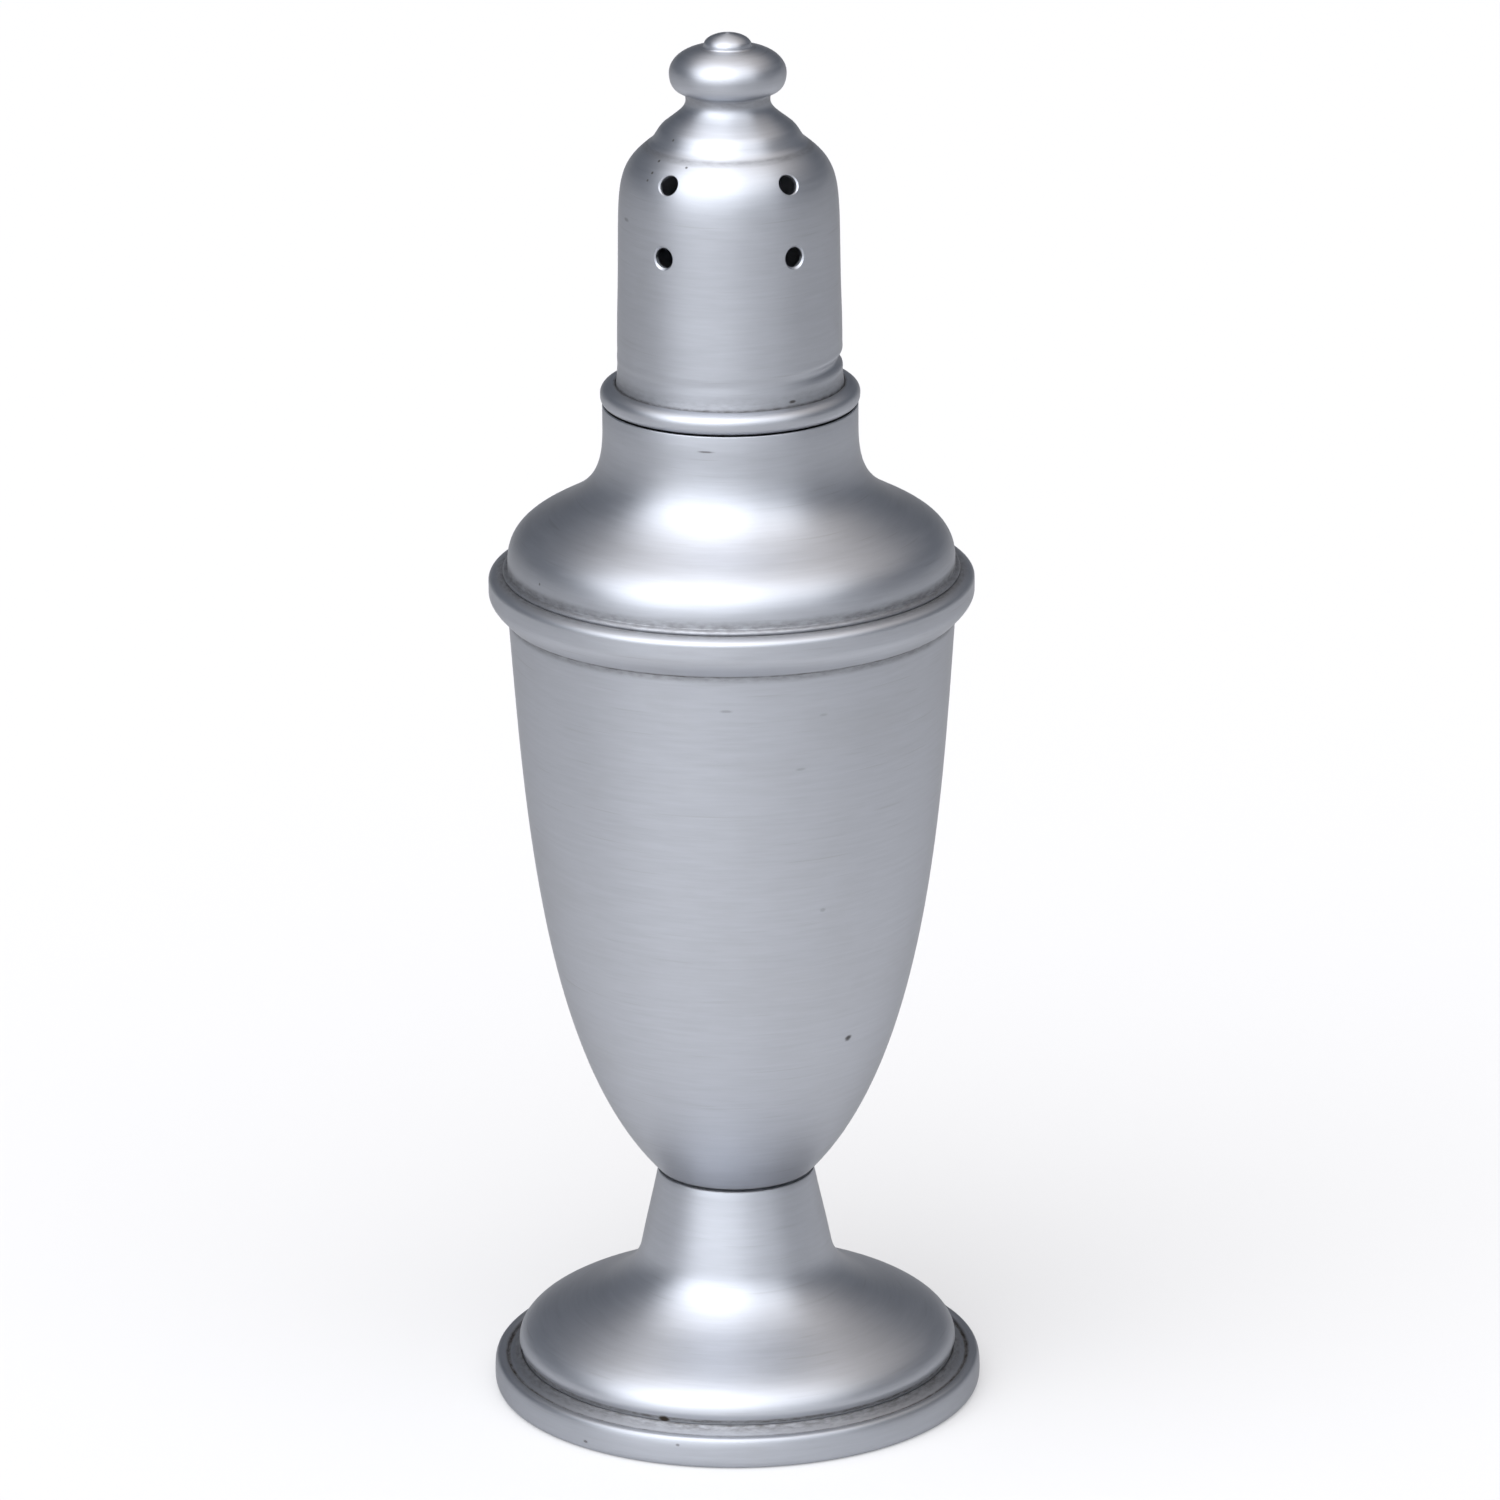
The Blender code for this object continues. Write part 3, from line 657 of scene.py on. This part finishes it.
def dome_cover():
    """Pierced dome with a straight skirt, which is rolled into the thread from outside."""
    _, seat, crown = reach("dome_cover")
    skirt_top, skirt_taper = seat + 9.1, 0.12
    outline = sweep((CROWN_RADIUS, crown), (52, 4.5), (2, 12.5), (SKIRT_RADIUS, skirt_top), steps=40)
    outside = outline + straight((SKIRT_RADIUS, skirt_top), (SKIRT_RADIUS + skirt_taper, seat), 90)[1:]
    bore = 2.8
    roll_height, roll_fade, roll_width = seat + 4.7, 0.9, 0.95
    least_depth, more_at_right = 0.05, 0.5
    flare_out, flare_top, flare_run = 0.12, seat + 3.5, 1.4
    line = [(bore, crown)] + outside + lining(outside, CAP_SHEET)[:-1]
    line += [(CROWN_RADIUS - CAP_SHEET, crown - CAP_SHEET), (bore, crown - CAP_SHEET)]
    piece = turn("pressed_dome_cover", line)

    def rolled_groove(point_radius, angle, height):
        """The cover is rolled over the thread, deepest at the right, and flares a little onto the bead."""
        fade = math.exp(-(((height - roll_height) / roll_fade) ** 2))
        depth = least_depth + more_at_right * max(0.0, math.cos(angle)) ** 3
        flare = flare_out * min(1.0, max(0.0, (flare_top - height) / flare_run)) ** 2
        return flare - depth * fade * thread_dip(angle, height, seat, roll_width)

    move_out(piece, rolled_groove)
    lower_row, upper_row = crown - 9.2, crown - 2.1
    cutter = hole_cutters(outline, (lower_row, upper_row))
    bpy.ops.object.select_all(action="DESELECT")
    piece.select_set(True)
    apply_modifier(piece, "BOOLEAN", operation="DIFFERENCE", solver="EXACT", object=cutter)
    bpy.data.objects.remove(cutter)
    pewter = spun_pewter(
        "spun_pewter_dome",
        # Grime with painted shade in the crease above the bead, a wider band of painted shade round it, and
        # painted shade round the crown where the finial meets it
        crevices=[
            (SKIRT_RADIUS + 0.2, seat + 2.0, 0.5, 0.7),
            (SKIRT_RADIUS + 0.2, seat + 2.0, 2.0, 0.25),
            (CROWN_RADIUS, crown, 0.8, 0.28),
        ],
        outline=outside,
        marks=[
            (-142, 128.6, 0.24, 0.24, 0.8),
            (-141, 127.6, 0.22, 0.22, 0.8),
            (-118, 128.5, 0.2, 0.2, 0.7),
            (-142, 126.9, 0.2, 0.2, 0.7),
            (-157, 122.5, 0.7, 0.25, 0.3),
            (-57, 105.5, 0.6, 0.25, 0.8),
        ],
    )
    finish_piece(piece, "cap", "dome_cover", pewter)


def finial():
    """Turned knob with a button on top, a narrow neck and a flared base."""
    _, spigot_low, top = reach("finial")
    crown = reach("dome_cover")[2]
    low = crown + 0.3
    neck, knob, flare = (4.12, low + 4.15), (5.72, low + 6.8), (6.35, low + 1.65)
    valley, base = (7.35, crown + 0.6), (CROWN_RADIUS + 0.02, crown)
    knob_top, button, crease, tuck = low + 9.3, 2.32, 2.6, 0.5
    under_radius, under_height = 4.4, 1.83
    button_foot = knob_top + 0.28
    spigot, spigot_top = 2.5, crown - 0.1
    line = swell(0, button, button_foot, top - button_foot, last=0, fullness=1.9, steps=14)
    line[0] = (0, top)
    line += sweep(line[-1], (4, 0.22), (72, 0.22), (crease, knob_top - 0.03), steps=8)[1:]
    inner = crease - tuck
    line += swell(inner, knob[0] - inner, knob[1], knob_top - knob[1], first=79, last=0, steps=18)
    under_depth = knob[0] - under_radius
    underside = swell(under_radius, under_depth, knob[1], under_height, first=0, fullness=2.2, steps=14)
    line += underside[1:]
    line += sweep(underside[-1], (-50, 0.25), (0, 0.25), neck, steps=6)[1:]
    line += sweep(neck, (0, 0.95), (51, 1.55), flare, steps=14)[1:]
    line += sweep(flare, (51, 0.6), (36, 0.5), valley, steps=10)[1:]
    line += sweep(valley, (36, 0.25), (53, 0.25), base, steps=6)[1:]
    line += [(spigot, spigot_top), (spigot, spigot_low), (0, spigot_low)]
    piece = turn("turned_finial", line)
    pewter = spun_pewter(
        "spun_pewter_finial",
        roughness=0.42,
        # Grime with painted shade under the knob and in the button's crease, and painted shade at the base
        # where it meets the dome
        crevices=[(neck[0], neck[1] + 0.3, 0.7, 0.3), (*base, 0.45, 0.3), (crease, knob_top, 0.3, 0.25)],
        outline=line,
        marks=[(-141, 130.4, 0.2, 0.2, 0.7)],
    )
    finish_piece(piece, "cap", "finial", pewter)


foot_rim()
base_disc()
pedestal()
bowl()
belly_band()
shoulder()
threaded_collar()
sealing_washer()
cap_bead()
dome_cover()
finial()


# Studio


def studio_floor():
    """White paper, lit as paper is and a little lifted where the camera and the metal see it, so that it
    stays white in the view; it greys out to the sides and the front, which gives the metal darker edges."""
    bpy.ops.object.select_all(action="DESELECT")
    bpy.ops.mesh.primitive_plane_add(size=8)
    floor = bpy.context.object
    floor.name = "studio_floor"
    material, tree, shader = new_material("white_paper")
    where = add(tree, "ShaderNodeTexCoord", out="Object")
    white_width, white_length, white_middle, glow_share = 0.2, 0.4, 0.36, 0.3
    patch = add(
        tree,
        "ShaderNodeVectorMath",
        {0: where, 1: (1 / white_width, 1 / white_length, 0), 2: (0, -white_middle / white_length, 0)},
        operation="MULTIPLY_ADD",
    )
    away = add(tree, "ShaderNodeVectorMath", {0: patch}, out="Value", operation="LENGTH")
    side = add(
        tree,
        "ShaderNodeMapRange",
        {"Value": away, "From Min": 1.0, "From Max": 1.9},
        interpolation_type="SMOOTHSTEP",
    )
    white_paper, grey_paper = linear("#DADADB"), linear("#AEAEAF")
    paper = add(tree, "ShaderNodeMix", {0: side, 6: white_paper, 7: grey_paper}, out=2, data_type="RGBA")
    tree.links.new(paper, shader.inputs["Base Color"])
    shader.inputs["Roughness"].default_value = 0.9
    path = add(tree, "ShaderNodeLightPath").node.outputs
    seen = path["Is Camera Ray"]
    for ray in ("Is Glossy Ray", "Is Transmission Ray"):
        seen = add(tree, "ShaderNodeMath", {0: seen, 1: path[ray]}, operation="MAXIMUM")
    share = add(tree, "ShaderNodeMath", {0: seen, 1: glow_share}, operation="MULTIPLY")
    white_glow, grey_glow = linear("#F6F6F7"), linear("#B4B5B6")
    lift = add(tree, "ShaderNodeMix", {0: side, 6: white_glow, 7: grey_glow}, out=2, data_type="RGBA")
    glow = add(tree, "ShaderNodeEmission", {"Color": lift, "Strength": 1})
    mixed = add(tree, "ShaderNodeMixShader", {0: share, 1: shader.outputs[0], 2: glow})
    tree.links.new(mixed, tree.nodes["Material Output"].inputs["Surface"])
    floor.data.materials.append(material)


def toward(azimuth, elevation):
    """The direction from the shaker, by degrees to the right of the camera and degrees up."""
    azimuth, elevation = math.radians(azimuth), math.radians(elevation)
    flat = math.cos(elevation)
    return Vector((flat * math.sin(azimuth), -flat * math.cos(azimuth), math.sin(elevation)))


def studio_world():
    """A dim cool room under a warm ceiling, with a wide soft light at the front left, two smaller ones
    above on the left and the right, a weak one low at the front right and a faint warm glow from above."""
    world = bpy.data.worlds.new("studio")
    bpy.context.scene.world = world
    world.use_nodes = True
    tree = world.node_tree
    where = add(tree, "ShaderNodeTexCoord", out="Generated")
    up = add(tree, "ShaderNodeSeparateXYZ", {0: where}, out="Z")
    room_level, ceiling_level, horizon_level = 0.225, 0.25, 0.62
    dusk, cool, warm = (linear(tint)[:3] for tint in ("#DDE8FA", "#FAFCFF", "#FFF3E6"))
    ceiling = add(
        tree,
        "ShaderNodeMapRange",
        {"Value": up, "From Min": 0.4, "To Max": ceiling_level},
        interpolation_type="SMOOTHSTEP",
    )
    room = [channel * room_level for channel in dusk]
    level = add(tree, "ShaderNodeVectorMath", {0: ceiling, 1: warm, 2: room}, operation="MULTIPLY_ADD")
    # Degrees to the right of the camera, degrees up, degrees from its middle to its edge, strength and tint
    lights = (
        (-26, 28, 51, 1.9, cool),
        (-56, 54, 41, 1.75, cool),
        (32, 55, 38, 1.7, cool),
        (36, 9, 32, 0.45, cool),
        (135, 78, 54, 0.63, warm),
    )
    core = 14
    for azimuth, elevation, edge, strength, tint in lights:
        facing = add(
            tree,
            "ShaderNodeVectorMath",
            {0: where, 1: toward(azimuth, elevation)},
            out="Value",
            operation="DOT_PRODUCT",
        )
        soft_light = add(
            tree,
            "ShaderNodeMapRange",
            {
                "Value": facing,
                "From Min": math.cos(math.radians(edge)),
                "From Max": math.cos(math.radians(core)),
                "To Max": strength,
            },
            interpolation_type="SMOOTHSTEP",
        )
        level = add(
            tree,
            "ShaderNodeVectorMath",
            {0: soft_light, 1: tint, 2: level},
            operation="MULTIPLY_ADD",
        )
    haze_top, haze_full = (math.sin(math.radians(degrees)) for degrees in (5, 2))
    horizon = add(
        tree,
        "ShaderNodeMapRange",
        {"Value": up, "From Min": haze_top, "From Max": haze_full},
        interpolation_type="SMOOTHSTEP",
    )
    haze = [horizon_level] * 3 + [1]
    seen = add(tree, "ShaderNodeMix", {0: horizon, 6: level, 7: haze}, out=2, data_type="RGBA")
    background = tree.nodes["Background"]
    background.inputs["Strength"].default_value = 1
    tree.links.new(seen, background.inputs["Color"])


def camera():
    """The photograph's view: a long lens 0.83 m in front and 0.34 m up, tipped 18 degrees down."""
    pitch_down, roll = math.radians(18), math.radians(-0.4)
    view = bpy.data.cameras.new("view")
    view.sensor_width = 36
    view.lens = 211.06
    holder = bpy.data.objects.new("view", view)
    bpy.context.collection.objects.link(holder)
    holder.location = (0.0017, -0.831, 0.337)
    tip = Matrix.Rotation(math.pi / 2 - pitch_down, 4, "X") @ Matrix.Rotation(roll, 4, "Z")
    holder.rotation_euler = tip.to_euler()
    bpy.context.scene.camera = holder


studio_floor()
studio_world()
camera()
bpy.context.scene.view_settings.view_transform = "Standard"
